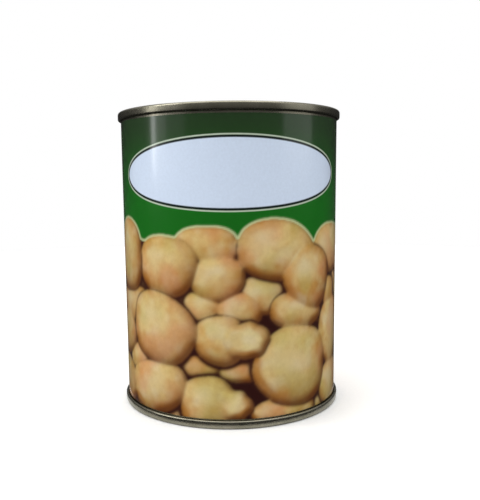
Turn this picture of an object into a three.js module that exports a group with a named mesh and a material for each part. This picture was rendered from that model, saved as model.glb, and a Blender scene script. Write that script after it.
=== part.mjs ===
// A round tinplate food can, double seamed at both ends, with a wrap-around paper label and its fill of
// whole button mushrooms. Millimetres, +Z up. The can stands on its bottom seam with the origin at the
// middle of that seam's foot, and the front of the label faces -Y.
import * as THREE from "three";

// The can
const CAN_HEIGHT = 113;
const SEAM_RADIUS = 43.2; // outside of both double seams
const SEAM_HEIGHT = 3;
const BODY_INNER_RADIUS = 41.65;
const BODY_GAUGE = 0.22;
const END_GAUGE = 0.24;
const SEGMENTS = 40; // flat facets round the can, shared by every round piece so that they stay aligned

// The double seam: middle lines of the sheets, as radii and as depths below the crest of the seam
const CHUCK_WALL_RADIUS = 41.46;
const END_HOOK_RADIUS = 42.17;
const BODY_HOOK_RADIUS = 42.58;
const CREST_INNER_BEND = 0.45;
const CREST_OUTER_BEND = 0.5;
const END_HOOK_TIP_DEPTH = 1.45;
const BODY_BEND_DEPTH = 1.15;
const BODY_HOOK_TIP_DEPTH = 2.4;

// The pressed end panel: depths of its outer face below the crest, and the radii of its steps
const CENTRE_DEPTH = 3;
const FIRST_STEP_DEPTH = 3.45;
const SECOND_STEP_DEPTH = 3.9;
const BEAD_DEPTH = 3.2;
const COUNTERSINK_DEPTH = 4.2;
const COUNTERSINK_BEND = 0.75;
const COUNTERSINK_RADIUS = 40.45;
const CENTRE_RADIUS = 19;
const FIRST_STEP_RADIUS = 26.5;
const SECOND_STEP_RADIUS = 33;
const BEAD_OUTER_RADIUS = 38.6;
const STEP_RUN = 1.2; // radial length of each sloping step

// The sealing compound squeezed between the crest and the flange of the body
const COMPOUND_INNER_RADIUS = 41.85;
const COMPOUND_OUTER_RADIUS = 42.7;
const COMPOUND_TOP_DEPTH = 0.3;
const COMPOUND_BOTTOM_DEPTH = 0.56;

// The label: one turn of paper and one facet more, where its end laps over its start
const LABEL_BOTTOM = 3.4;
const LABEL_TOP = 109.2;
const PAPER_THICKNESS = 0.1;
const PAPER_CLEARANCE = 0.1; // between the body and the paper
const LAP_START_FACET = 11; // facets counted from the front towards +X
const LAP_RISE = 0.16; // how far the lapping end stands out over the start
const GLUE_THICKNESS = 0.04;
const GLUE_MARGIN = 0.6; // glue stops this far short of the edges of the lap
const PICKUP_GLUE_WIDTH = 4;

// The mushrooms: layers of one in the middle and a ring round it, each inside a sphere of its own
const LAYERS = 4;
const RING_COUNT = 6;
const RING_RADIUS = 27.5;
const FIRST_LAYER_HEIGHT = 17.2;
const LAYER_PITCH = 25.7;
const GOLDEN_ANGLE = THREE.MathUtils.degToRad(137.5);
const LEAST_TILT = THREE.MathUtils.degToRad(15);
const TILT_SPAN = THREE.MathUtils.degToRad(150);
const LEAST_SCALE = 0.9;
const CAP_RADIUS = 12.4;
const CAP_HEIGHT = 10.6; // from the widest part of the cap to its crown
const CAP_WIDEST_HEIGHT = 1; // above the middle of the mushroom
const CAP_STEPS = 3;
const MARGIN_RADIUS = 11.3;
const MARGIN_HEIGHT = -2.6;
const STEM_TOP_RADIUS = 4.9;
const STEM_TOP_HEIGHT = -1.4;
const STEM_WAIST_RADIUS = 4.3;
const STEM_WAIST_HEIGHT = -4.6;
const STEM_BASE_RADIUS = 4.8;
const STEM_BASE_HEIGHT = -11.2;
const MUSHROOM_SEGMENTS = 8;

const BODY_MIDDLE_RADIUS = BODY_INNER_RADIUS + BODY_GAUGE / 2;
const BODY_OUTER_RADIUS = BODY_INNER_RADIUS + BODY_GAUGE;
const FACET_ANGLE = (2 * Math.PI) / SEGMENTS;

const tinplate = { color: 0xb9bab4, metalness: 1, roughness: 0.3 };
const compound = { color: 0x8b8f86, metalness: 0, roughness: 0.7 };
const printedPaper = { color: 0x1d4a24, metalness: 0, roughness: 0.3 };
const driedGlue = { color: 0xd9cfae, metalness: 0, roughness: 0.5 };
const mushroomFlesh = { color: 0xc3ab7f, metalness: 0, roughness: 0.45 };

function namedMesh(name, geometry, finish) {
  const mesh = new THREE.Mesh(geometry, new THREE.MeshStandardMaterial(finish));
  mesh.name = name;
  return mesh;
}

// A profile in (radius, height), turned about +Z with its first facet starting at the front. It runs
// anticlockwise, which puts the faces outwards, and closes on itself unless it starts on the axis.
function revolve(profile, segments = SEGMENTS) {
  const points = THREE.ShapeUtils.area(profile) < 0 ? [...profile].reverse() : [...profile];
  if (points[0].x > 0) points.push(points[0]);
  return new THREE.LatheGeometry(points, segments).rotateX(Math.PI / 2);
}

// The outline of a sheet whose middle follows a line: out along one face, round its edge and back
// along the other. Corners are mitred, so the sheet keeps its gauge through every bend.
function sheetOutline(middle, gauge) {
  const offsets = middle.map((point, i) => {
    const arriving = point.clone().sub(middle[Math.max(i - 1, 0)]).normalize();
    const leaving = middle[Math.min(i + 1, middle.length - 1)].clone().sub(point).normalize();
    const along = arriving.clone().add(leaving).normalize();
    const cosine = Math.max(along.dot(arriving), along.dot(leaving));
    return new THREE.Vector2(-along.y, along.x).multiplyScalar(gauge / 2 / cosine);
  });
  const upper = middle.map((point, i) => point.clone().add(offsets[i]));
  const lower = middle.map((point, i) => point.clone().sub(offsets[i]));
  return [...lower, ...upper.reverse()];
}

// A half turn in two quarters from the left side of a circle to its right, over the top or under it.
function halfTurn(path, centreRadius, centreHeight, bend, over) {
  const middle = over ? Math.PI / 2 : -Math.PI / 2;
  path.absarc(centreRadius, centreHeight, bend, Math.PI, middle, over);
  path.absarc(centreRadius, centreHeight, bend, middle, 0, over);
}

// The middle line of an end, from its centre to the tip of its hook, with the crest at height 0.
function endMiddleLine() {
  const half = END_GAUGE / 2;
  const path = new THREE.Path();
  path.moveTo(0, -CENTRE_DEPTH - half);
  path.lineTo(CENTRE_RADIUS, -CENTRE_DEPTH - half);
  path.lineTo(CENTRE_RADIUS + STEP_RUN, -FIRST_STEP_DEPTH - half);
  path.lineTo(FIRST_STEP_RADIUS, -FIRST_STEP_DEPTH - half);
  path.lineTo(FIRST_STEP_RADIUS + STEP_RUN, -SECOND_STEP_DEPTH - half);
  path.lineTo(SECOND_STEP_RADIUS, -SECOND_STEP_DEPTH - half);
  path.lineTo(SECOND_STEP_RADIUS + STEP_RUN, -BEAD_DEPTH - half);
  path.lineTo(BEAD_OUTER_RADIUS, -BEAD_DEPTH - half);

  const sinkHeight = COUNTERSINK_BEND - COUNTERSINK_DEPTH - half;
  path.absarc(COUNTERSINK_RADIUS, sinkHeight, COUNTERSINK_BEND, (10 / 9) * Math.PI, 2 * Math.PI);

  const innerBend = CREST_INNER_BEND;
  const innerCentre = CHUCK_WALL_RADIUS + innerBend;
  path.absarc(innerCentre, -half - innerBend, innerBend, Math.PI, Math.PI / 2, true);
  const outerBend = CREST_OUTER_BEND;
  const wallRadius = SEAM_RADIUS - half;
  path.absarc(wallRadius - outerBend, -half - outerBend, outerBend, Math.PI / 2, 0, true);

  const curlBend = (wallRadius - END_HOOK_RADIUS) / 2;
  const curlCentre = wallRadius - curlBend;
  const curlHeight = half + curlBend - SEAM_HEIGHT;
  path.absarc(curlCentre, curlHeight, curlBend, 0, -Math.PI / 2, true);
  path.absarc(curlCentre, curlHeight, curlBend, -Math.PI / 2, -Math.PI, true);
  path.lineTo(END_HOOK_RADIUS, -END_HOOK_TIP_DEPTH);
  return linePoints(path);
}

// The corners of a path, with each of its bends in two straight stretches.
function linePoints(path) {
  const least = 1e-4;
  return path.getPoints(1).filter((point, i, all) => i === 0 || point.distanceTo(all[i - 1]) > least);
}

function atTop(profile) {
  return profile.map((point) => new THREE.Vector2(point.x, CAN_HEIGHT + point.y));
}

function atBottom(profile) {
  return profile.map((point) => new THREE.Vector2(point.x, -point.y));
}

function makeEnd(name, place) {
  return namedMesh(name, revolve(place(sheetOutline(endMiddleLine(), END_GAUGE))), tinplate);
}

// The body: a straight wall whose flanges are turned over into the hooks of the two seams.
function makeBody() {
  const bend = (BODY_HOOK_RADIUS - BODY_MIDDLE_RADIUS) / 2;
  const hook = new THREE.Path();
  halfTurn(hook, BODY_HOOK_RADIUS - bend, -BODY_BEND_DEPTH, bend, true);
  hook.lineTo(BODY_HOOK_RADIUS, -BODY_HOOK_TIP_DEPTH);
  const hookLine = linePoints(hook);
  const middle = [...atBottom(hookLine).reverse(), ...atTop(hookLine)];
  return namedMesh("can_body", revolve(sheetOutline(middle, BODY_GAUGE)), tinplate);
}

function makeCompound(name, place) {
  const section = [
    new THREE.Vector2(COMPOUND_INNER_RADIUS, -COMPOUND_BOTTOM_DEPTH),
    new THREE.Vector2(COMPOUND_OUTER_RADIUS, -COMPOUND_BOTTOM_DEPTH),
    new THREE.Vector2(COMPOUND_OUTER_RADIUS, -COMPOUND_TOP_DEPTH),
    new THREE.Vector2(COMPOUND_INNER_RADIUS, -COMPOUND_TOP_DEPTH),
  ];
  return namedMesh(name, revolve(place(section)), compound);
}

// A point on the plan of the can, at a number of facets from the front towards +X.
function planPoint(facets, radius) {
  const angle = facets * FACET_ANGLE;
  return new THREE.Vector2(radius * Math.sin(angle), -radius * Math.cos(angle));
}

// The label's plan runs once round the body, then rises over its own start and laps it by one facet.
function makeLabel() {
  const inside = [];
  const outside = [];
  for (let step = 0; step <= SEGMENTS + 1; step += 1) {
    const rise = step < SEGMENTS ? 0 : LAP_RISE;
    const radius = BODY_OUTER_RADIUS + PAPER_CLEARANCE + rise;
    inside.push(planPoint(LAP_START_FACET + step, radius));
    outside.push(planPoint(LAP_START_FACET + step, radius + PAPER_THICKNESS));
  }
  const plan = new THREE.Shape([...outside, ...inside.reverse()]);
  const depth = LABEL_TOP - LABEL_BOTTOM;
  const geometry = new THREE.ExtrudeGeometry(plan, { depth, bevelEnabled: false });
  geometry.translate(0, 0, LABEL_BOTTOM);
  return namedMesh("paper_label", geometry, printedPaper);
}

// A flat upright strip of glue on the facet of the lap, its middle at a radius from the axis.
function makeGlue(name, width, radius) {
  const height = LABEL_TOP - LABEL_BOTTOM - 2 * GLUE_MARGIN;
  const strip = namedMesh(name, new THREE.BoxGeometry(width, GLUE_THICKNESS, height), driedGlue);
  const angle = (LAP_START_FACET + 0.5) * FACET_ANGLE;
  strip.position.set(radius * Math.sin(angle), -radius * Math.cos(angle), (LABEL_TOP + LABEL_BOTTOM) / 2);
  strip.rotation.z = angle;
  return strip;
}

function makeGlues() {
  const toFacet = Math.cos(FACET_ANGLE / 2);
  const startOfPaper = (BODY_OUTER_RADIUS + PAPER_CLEARANCE) * toFacet;
  const outsideOfStart = startOfPaper + PAPER_THICKNESS * toFacet;
  const lapGap = (LAP_RISE - PAPER_THICKNESS) * toFacet;
  const lapWidth = 2 * outsideOfStart * Math.tan(FACET_ANGLE / 2) - 2 * GLUE_MARGIN;
  const behindPaper = startOfPaper - (PAPER_CLEARANCE * toFacet) / 2;
  return [
    makeGlue("label_lap_glue", lapWidth, outsideOfStart + lapGap / 2),
    makeGlue("label_pickup_glue", PICKUP_GLUE_WIDTH, behindPaper),
  ];
}

// Half the section of a whole button mushroom: an elliptical cap with a rolled margin, and a short
// stem that was cut flat. Its height 0 is the middle of the sphere that it fits.
function mushroomProfile() {
  const profile = [new THREE.Vector2(0, STEM_BASE_HEIGHT)];
  profile.push(new THREE.Vector2(STEM_BASE_RADIUS, STEM_BASE_HEIGHT));
  profile.push(new THREE.Vector2(STEM_WAIST_RADIUS, STEM_WAIST_HEIGHT));
  profile.push(new THREE.Vector2(STEM_TOP_RADIUS, STEM_TOP_HEIGHT));
  profile.push(new THREE.Vector2(MARGIN_RADIUS, MARGIN_HEIGHT));
  for (let step = 0; step < CAP_STEPS; step += 1) {
    const angle = (step / CAP_STEPS) * (Math.PI / 2);
    const height = CAP_WIDEST_HEIGHT + CAP_HEIGHT * Math.sin(angle);
    profile.push(new THREE.Vector2(CAP_RADIUS * Math.cos(angle), height));
  }
  profile.push(new THREE.Vector2(0, CAP_WIDEST_HEIGHT + CAP_HEIGHT));
  return profile;
}

// Mushroom number n lies in its layer's middle or ring, turned to a heading and tipped over.
function makeMushroom(number) {
  const inLayer = number % (RING_COUNT + 1);
  const layer = Math.floor(number / (RING_COUNT + 1));
  const mesh = namedMesh(
    `mushroom_${String(number + 1).padStart(2, "0")}`,
    revolve(mushroomProfile(), MUSHROOM_SEGMENTS),
    mushroomFlesh,
  );
  const ringAngle = ((inLayer + layer / 2) / RING_COUNT) * 2 * Math.PI;
  const ringRadius = inLayer === RING_COUNT ? 0 : RING_RADIUS;
  const height = FIRST_LAYER_HEIGHT + layer * LAYER_PITCH;
  mesh.position.set(ringRadius * Math.cos(ringAngle), ringRadius * Math.sin(ringAngle), height);
  const heading = number * GOLDEN_ANGLE;
  const spread = (number * GOLDEN_ANGLE) % 1;
  mesh.rotation.set(LEAST_TILT + TILT_SPAN * spread, 0, heading, "ZYX");
  mesh.scale.setScalar(1 - (1 - LEAST_SCALE) * ((number * 0.37) % 1));
  return mesh;
}

const shell = new THREE.Group();
shell.add(makeBody());
shell.add(makeEnd("top_end", atTop), makeEnd("bottom_end", atBottom));
shell.add(makeCompound("top_seam_compound", atTop), makeCompound("bottom_seam_compound", atBottom));

const label = new THREE.Group();
label.add(makeLabel(), ...makeGlues());

const fill = new THREE.Group();
for (let number = 0; number < LAYERS * (RING_COUNT + 1); number += 1) fill.add(makeMushroom(number));

const can = new THREE.Group();
can.add(shell, label, fill);

export default can;
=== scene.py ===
"""The looks of a round food can: seamed tinplate, a printed paper label, and whole mushrooms inside.

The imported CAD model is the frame. Every sub-assembly below is a class that holds its sizes in
millimetres, works its surfaces out as whole numpy arrays, and stands for the CAD nodes it names.
Angles round the can are measured from the front of the label, which faces -Y, towards +X.
"""

import logging
import math
from dataclasses import dataclass, field
from enum import Enum

import bpy
import numpy as np
from mathutils import Matrix, Vector


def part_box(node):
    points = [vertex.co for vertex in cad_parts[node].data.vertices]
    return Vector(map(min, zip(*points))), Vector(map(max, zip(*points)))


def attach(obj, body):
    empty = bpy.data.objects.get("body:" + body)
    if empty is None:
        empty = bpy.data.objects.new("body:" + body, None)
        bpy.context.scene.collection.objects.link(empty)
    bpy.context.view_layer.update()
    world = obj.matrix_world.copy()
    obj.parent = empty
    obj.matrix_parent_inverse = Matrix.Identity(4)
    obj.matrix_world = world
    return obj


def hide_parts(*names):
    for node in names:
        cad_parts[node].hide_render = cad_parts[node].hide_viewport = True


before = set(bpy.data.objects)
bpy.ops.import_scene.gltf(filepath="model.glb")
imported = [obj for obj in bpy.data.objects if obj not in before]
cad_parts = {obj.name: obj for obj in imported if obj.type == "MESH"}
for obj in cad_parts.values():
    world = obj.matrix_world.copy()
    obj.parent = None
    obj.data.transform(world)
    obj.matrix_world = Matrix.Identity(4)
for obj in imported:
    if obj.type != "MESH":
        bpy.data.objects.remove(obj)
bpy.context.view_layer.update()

MM = 0.001
ROOT = "root"
CAN_HEIGHT = (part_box("top_end")[1].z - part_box("bottom_end")[0].z) / MM
SEAM_RADIUS = (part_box("top_end")[1].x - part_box("top_end")[0].x) / 2 / MM
SHARP_ANGLE = math.radians(38)
FULL_TURN = 2 * math.pi

# Sockets of the colour Mix node, whose names repeat for its other data types.
MIX_FACTOR, MIX_A, MIX_B, MIX_RESULT = 0, 6, 7, 2

Tree = bpy.types.NodeTree
Socket = bpy.types.NodeSocket
Span = tuple[float, float]
Triple = tuple[float, float, float]
UNIT = (0.0, 1.0)

log = logging.getLogger("food_can")


class Side(Enum):
    """Which end of the can a piece belongs to."""

    TOP = "top"
    BOTTOM = "bottom"


# ---------------------------------------------------------------- arrays


def linear(colour: str) -> np.ndarray:
    """Turns an sRGB hex colour into linear red, green and blue.

    Args:
        colour: The colour as "#rrggbb".

    Returns:
        Three linear values from 0 to 1.
    """
    value = np.array([int(colour[i : i + 2], 16) for i in (1, 3, 5)]) / 255
    return np.where(value <= 0.04045, value / 12.92, ((value + 0.055) / 1.055) ** 2.4)


def rgba(colour: str) -> tuple[float, ...]:
    """Gives an sRGB hex colour as the linear colour of a shader socket."""
    return (*linear(colour).tolist(), 1.0)


def smooth_step(low: float, high: float, value: np.ndarray) -> np.ndarray:
    """Rises from 0 at low to 1 at high along the curve 3t squared minus 2t cubed.

    Args:
        low: Where the rise begins. It may lie above high, and then the curve falls.
        high: Where the rise ends.
        value: The values to map.

    Returns:
        The mapped values.
    """
    t = np.clip((value - low) / (high - low), 0, 1)
    return t * t * (3 - 2 * t)


def mix(base: np.ndarray, other: np.ndarray, share: np.ndarray) -> np.ndarray:
    """Mixes colours point by point.

    Args:
        base: The colour where share is 0.
        other: The colour where share is 1.
        share: The share of the other colour at each point.

    Returns:
        base plus share times the difference, with one colour per point.
    """
    return base + (other - base) * share[..., None]


def rounded_line(corners: list[Triple], steps: int) -> np.ndarray:
    """Draws a line through corners, each rounded by an arc of its own radius.

    The arc touches both sides of its corner: its centre lies on the bisector at the radius over the
    sine of half the corner's angle, and its points turn evenly from one side to the other.

    Args:
        corners: Radius, height and bend radius of each corner; a bend of 0 keeps it sharp.
        steps: Stretches in each arc.

    Returns:
        The points of the line, one row of radius and height each.
    """
    points = np.array(corners)[:, :2]
    drawn = []
    for i, (_, _, bend) in enumerate(corners):
        here = points[i]
        if bend == 0:
            drawn.append(here[None])
            continue
        back = (points[i - 1] - here) / np.linalg.norm(points[i - 1] - here)
        ahead = (points[i + 1] - here) / np.linalg.norm(points[i + 1] - here)
        half = math.acos(np.clip(back @ ahead, -1, 1)) / 2
        bisector = (back + ahead) / np.linalg.norm(back + ahead)
        centre = here + bisector * bend / math.sin(half)
        first = here + back * bend / math.tan(half) - centre
        last = here + ahead * bend / math.tan(half) - centre
        turn = math.pi - 2 * half
        t = np.linspace(0, 1, steps + 1)[:, None]
        drawn.append(centre + (np.sin((1 - t) * turn) * first + np.sin(t * turn) * last) / math.sin(turn))
    return np.concatenate(drawn)


def sheet_outline(middle: np.ndarray, gauge: float) -> np.ndarray:
    """Gives a bent sheet its thickness: out along one face, round the cut edge and back.

    Each point of the middle line moves half the gauge along its normal, which is the mean of the
    normals of its two stretches divided by the cosine between them, so bends keep the gauge.

    Args:
        middle: The sheet's middle line.
        gauge: The sheet's thickness.

    Returns:
        The outline's points, anticlockwise or clockwise as the middle line runs.
    """
    stretch = np.diff(middle, axis=0)
    stretch /= np.linalg.norm(stretch, axis=1)[:, None]
    arriving = np.concatenate([stretch[:1], stretch])
    leaving = np.concatenate([stretch, stretch[-1:]])
    along = arriving + leaving
    along /= np.linalg.norm(along, axis=1)[:, None]
    cosine = (along * leaving).sum(1)[:, None]
    normal = np.stack([-along[:, 1], along[:, 0]], 1)
    offset = normal * gauge / 2 / cosine
    return np.concatenate([middle - offset, (middle + offset)[::-1]])


def placed(line: np.ndarray, side: Side) -> np.ndarray:
    """Moves a seam's line from its own heights, 0 at the crest and down, to its end of the can.

    Args:
        line: Points of radius and height, with heights below 0.
        side: The end of the can.

    Returns:
        The same points in the can's heights.
    """
    height = CAN_HEIGHT + line[:, 1] if side is Side.TOP else -line[:, 1]
    return np.stack([line[:, 0], height], 1)


def around(radius: np.ndarray, angle: np.ndarray, height: np.ndarray) -> np.ndarray:
    """Places points by their radius, angle from the front towards +X, and height, all broadcast."""
    return np.stack(np.broadcast_arrays(radius * np.sin(angle), -radius * np.cos(angle), height), -1)


def waves(angle: np.ndarray, table: tuple[Triple, ...], number: float = 1) -> np.ndarray:
    """Sums sines round an angle.

    Args:
        angle: The angles.
        table: For each sine, how often it swings in a turn, its phase for one number, and its size.
        number: What the phases are multiplied by, so that numbered things differ.

    Returns:
        The sums.
    """
    return sum(size * np.sin(times * angle + phase * number) for times, phase, size in table)


def dome(reach: np.ndarray, power: float) -> np.ndarray:
    """Gives the height of a rounded dome, 1 in its middle and 0 from a reach of 1 outwards."""
    return np.sqrt(np.clip(1 - reach**power, 0, 1))


# ---------------------------------------------------------------- meshes


def build_mesh(name: str, points: np.ndarray, faces: list[np.ndarray]) -> bpy.types.Object:
    """Makes a mesh object from points in millimetres.

    Args:
        name: The piece's name.
        points: One row of x, y and z for each vertex.
        faces: Arrays of faces, each with the same number of corners in every row.

    Returns:
        The object, at the origin, shaded smooth between its sharp edges.
    """
    corners = np.concatenate([f.ravel() for f in faces]).astype(np.int32)
    sizes = np.concatenate([np.full(len(f), f.shape[1]) for f in faces])
    starts = np.concatenate([[0], np.cumsum(sizes)[:-1]]).astype(np.int32)
    mesh = bpy.data.meshes.new(name)
    mesh.vertices.add(len(points))
    mesh.vertices.foreach_set("co", (points * MM).astype(np.float32).ravel())
    mesh.loops.add(len(corners))
    mesh.loops.foreach_set("vertex_index", corners)
    mesh.polygons.add(len(sizes))
    mesh.polygons.foreach_set("loop_start", starts)
    mesh.update(calc_edges=True)
    mesh.validate()
    mesh.shade_smooth()
    mesh.set_sharp_from_angle(angle=SHARP_ANGLE)
    piece = bpy.data.objects.new(name, mesh)
    bpy.context.scene.collection.objects.link(piece)
    return piece


def grid_faces(rows: int, columns: int, close_rows: bool, close_columns: bool) -> np.ndarray:
    """Joins a grid of points, numbered row by row, into four-sided faces.

    Args:
        rows: Rows of points.
        columns: Points in each row.
        close_rows: Whether the last row joins the first.
        close_columns: Whether each row's last point joins its first.

    Returns:
        One row of four point numbers for each face, turning from the column to the row direction.
    """
    row = np.arange(rows if close_rows else rows - 1)[:, None]
    column = np.arange(columns if close_columns else columns - 1)[None]
    next_row = (row + 1) % rows
    next_column = (column + 1) % columns
    ring = [row * columns + column, row * columns + next_column]
    ring += [next_row * columns + next_column, next_row * columns + column]
    return np.stack(np.broadcast_arrays(*ring), -1).reshape(-1, 4)


def capped_tube(rows: int, columns: int) -> list[np.ndarray]:
    """Gives the faces of a tube whose grid of points is followed by a point at each pole.

    Args:
        rows: Rows of points along the tube.
        columns: Points round it.

    Returns:
        The sides, the fan at the first pole and the fan at the last.
    """
    here = np.arange(columns)
    after = (here + 1) % columns
    pole = np.full(columns, rows * columns)
    last = (rows - 1) * columns
    first_fan = np.stack([pole, after, here], 1)
    last_fan = np.stack([pole + 1, last + here, last + after], 1)
    return [grid_faces(rows, columns, False, True), first_fan, last_fan]


def revolve(profile: np.ndarray, columns: int) -> tuple[np.ndarray, list[np.ndarray]]:
    """Turns a profile about the axis into a closed surface.

    A profile that starts and ends on the axis gets one point at each pole; any other closes on
    itself. Its signed area says which way it runs, and it is turned round to run anticlockwise.

    Args:
        profile: Points of radius and height.
        columns: Steps round the axis.

    Returns:
        The surface's points and its faces.
    """
    ahead = np.roll(profile, -1, 0)
    area = (profile[:, 0] * ahead[:, 1] - ahead[:, 0] * profile[:, 1]).sum()
    line = profile if area > 0 else profile[::-1]
    angle = np.arange(columns)[None] / columns * FULL_TURN
    if line[0, 0] > 0:
        points = around(line[:, :1], angle, line[:, 1:]).reshape(-1, 3)
        return points, [grid_faces(len(line), columns, True, True)]
    inner = line[1:-1]
    grid = around(inner[:, :1], angle, inner[:, 1:]).reshape(-1, 3)
    poles = np.array([[0, 0, line[0, 1]], [0, 0, line[-1, 1]]])
    return np.concatenate([grid, poles]), capped_tube(len(inner), columns)


def set_attribute(piece: bpy.types.Object, name: str, kind: str, values: np.ndarray) -> None:
    """Stores one value, vector or colour for each vertex of a piece.

    Args:
        piece: The piece.
        name: The attribute's name, which the piece's material reads.
        kind: Blender's name of the attribute's type.
        values: One row for each vertex.
    """
    keys = {"FLOAT": "value", "FLOAT_VECTOR": "vector", "FLOAT_COLOR": "color"}
    attribute = piece.data.attributes.new(name, kind, "POINT")
    attribute.data.foreach_set(keys[kind], values.astype(np.float32).ravel())


def fit_out(piece: bpy.types.Object, finish: bpy.types.Material, slot: str, *nodes: str) -> None:
    """Dresses a finished piece and lets it stand for its CAD nodes.

    Args:
        piece: The piece, in place.
        finish: Its material.
        slot: Not used.
        nodes: The CAD nodes that it replaces.
    """
    piece.data.materials.append(finish)
    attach(piece, ROOT)
    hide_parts(*nodes)
    log.info("%s: %d faces, for %s", piece.name, len(piece.data.polygons), ", ".join(nodes))


# ---------------------------------------------------------------- shader nodes


def add_node(tree: Tree, kind: str, inputs: dict | None = None, **settings: object) -> bpy.types.Node:
    """Adds a shader node with its settings and links.

    Args:
        tree: The node tree.
        kind: Blender's name of the node's type.
        inputs: For each input's name or number, a value or the output that feeds it.
        settings: The node's own properties.

    Returns:
        The new node.
    """
    node = tree.nodes.new(kind)
    for key, value in settings.items():
        setattr(node, key, value)
    for key, value in (inputs or {}).items():
        if isinstance(value, Socket):
            tree.links.new(value, node.inputs[key])
        else:
            node.inputs[key].default_value = value
    return node


def object_place(tree: Tree) -> Socket:
    """Adds the object's own coordinates, in metres."""
    return add_node(tree, "ShaderNodeTexCoord").outputs["Object"]


def noise(tree: Tree, place: Socket, size: float, detail: float) -> Socket:
    """Adds noise from 0 to 1 whose patches have a size in millimetres."""
    inputs = {"Vector": place, "Scale": 1 / (size * MM), "Detail": detail}
    return add_node(tree, "ShaderNodeTexNoise", inputs).outputs["Fac"]


def ramp(tree: Tree, value: Socket, source: Span, result: Span = UNIT, smooth: bool = False) -> Socket:
    """Maps a value from one span onto another and holds it there.

    Args:
        tree: The node tree.
        value: The output to map.
        source: The two values that map onto the ends of the result.
        result: The span that comes out; its ends may be outputs.
        smooth: Whether the map eases in and out.

    Returns:
        The mapped output.
    """
    inputs = {"Value": value, "From Min": source[0], "From Max": source[1]}
    inputs.update({"To Min": result[0], "To Max": result[1]})
    easing = "SMOOTHSTEP" if smooth else "LINEAR"
    return add_node(tree, "ShaderNodeMapRange", inputs, interpolation_type=easing).outputs["Result"]


def blend(tree: Tree, share: Socket, base: Socket | str, other: Socket | str) -> Socket:
    """Blends two colours.

    Args:
        tree: The node tree.
        share: The share of the other colour.
        base: The colour where share is 0, as an output or a hex colour.
        other: The colour where share is 1, likewise.

    Returns:
        The blended output.
    """
    inputs = {MIX_FACTOR: share}
    for key, colour in ((MIX_A, base), (MIX_B, other)):
        inputs[key] = rgba(colour) if isinstance(colour, str) else colour
    return add_node(tree, "ShaderNodeMix", inputs, data_type="RGBA").outputs[MIX_RESULT]


def calculate(tree: Tree, operation: str, *values: object) -> Socket:
    """Adds a sum of numbers, or a product, and so on, by the name of Blender's operation."""
    return add_node(tree, "ShaderNodeMath", dict(enumerate(values)), operation=operation).outputs["Value"]


def calculate_vector(tree: Tree, operation: str, *values: object) -> Socket:
    """Adds an operation on vectors. A length comes out as a number, anything else as a vector."""
    node = add_node(tree, "ShaderNodeVectorMath", dict(enumerate(values)), operation=operation)
    return node.outputs["Value" if operation == "LENGTH" else "Vector"]


@dataclass
class Surface:
    """A material under construction: one Principled shader in a node tree of its own."""

    material: bpy.types.Material
    tree: Tree
    shader: bpy.types.Node

    @classmethod
    def named(cls, name: str, **inputs: object) -> "Surface":
        """Starts a material.

        Args:
            name: The finish in a maker's words.
            inputs: Values of the shader's sockets, with underscores for the spaces in their names.

        Returns:
            The surface.
        """
        material = bpy.data.materials.new(name)
        material.use_nodes = True
        tree = material.node_tree
        tree.nodes.clear()
        values = {key.replace("_", " "): value for key, value in inputs.items()}
        shader = add_node(tree, "ShaderNodeBsdfPrincipled", values)
        add_node(tree, "ShaderNodeOutputMaterial", {"Surface": shader.outputs["BSDF"]})
        return cls(material, tree, shader)

    def feed(self, source: Socket, *sockets: str) -> None:
        """Links an output to sockets of the shader."""
        for socket in sockets:
            self.tree.links.new(source, self.shader.inputs[socket])

    def bump(self, height: Socket, depth: float, strength: float = 1.0, *more: str) -> None:
        """Lets a height from 0 to 1, worth a depth in millimetres, tilt the normal and more sockets."""
        inputs = {"Height": height, "Distance": depth * MM, "Strength": strength}
        self.feed(add_node(self.tree, "ShaderNodeBump", inputs).outputs["Normal"], "Normal", *more)


# ---------------------------------------------------------------- finishes


@dataclass(frozen=True)
class LacqueredTinplate:
    """Tinplate, cold rolled and tinned, under a thin olive-gold food lacquer.

    The tin mirrors softly, and the lacquer darkens it towards olive. Rolling leaves fine straight
    lines some 0.05 mm apart, which are drawn 0.3 mm apart and long, so that they show.
    """

    name: str = "lacquered_tinplate"
    colour: str = "#838070"
    worn_colour: str = "#949081"
    roughness: float = 0.25
    roughness_spread: float = 0.06
    line_spacing: float = 0.3
    line_length: float = 12.0
    line_relief: float = 0.35
    cloud_size: float = 8.0
    cloud_span: Span = (0.35, 0.7)
    line_span: Span = (0.3, 0.7)
    bump_depth: float = 0.004

    def material(self) -> bpy.types.Material:
        """Builds the material, with clouded colour and rolling lines in its roughness and height.

        Returns:
            The material.
        """
        surface = Surface.named(self.name, Metallic=1.0)
        tree = surface.tree
        place = object_place(tree)
        worn = ramp(tree, noise(tree, place, self.cloud_size, detail=5.0), self.cloud_span)
        surface.feed(blend(tree, worn, self.colour, self.worn_colour), "Base Color")
        across = 1 / self.line_spacing
        stretch = (1 / self.line_length, across, across)
        lined = add_node(tree, "ShaderNodeMapping", {"Vector": place, "Scale": stretch}).outputs["Vector"]
        lines = noise(tree, lined, 1.0, detail=2.0)
        rougher = (self.roughness, self.roughness + self.roughness_spread)
        surface.feed(ramp(tree, lines, self.line_span, rougher), "Roughness")
        surface.bump(lines, self.bump_depth, self.line_relief)
        return surface.material


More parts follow.
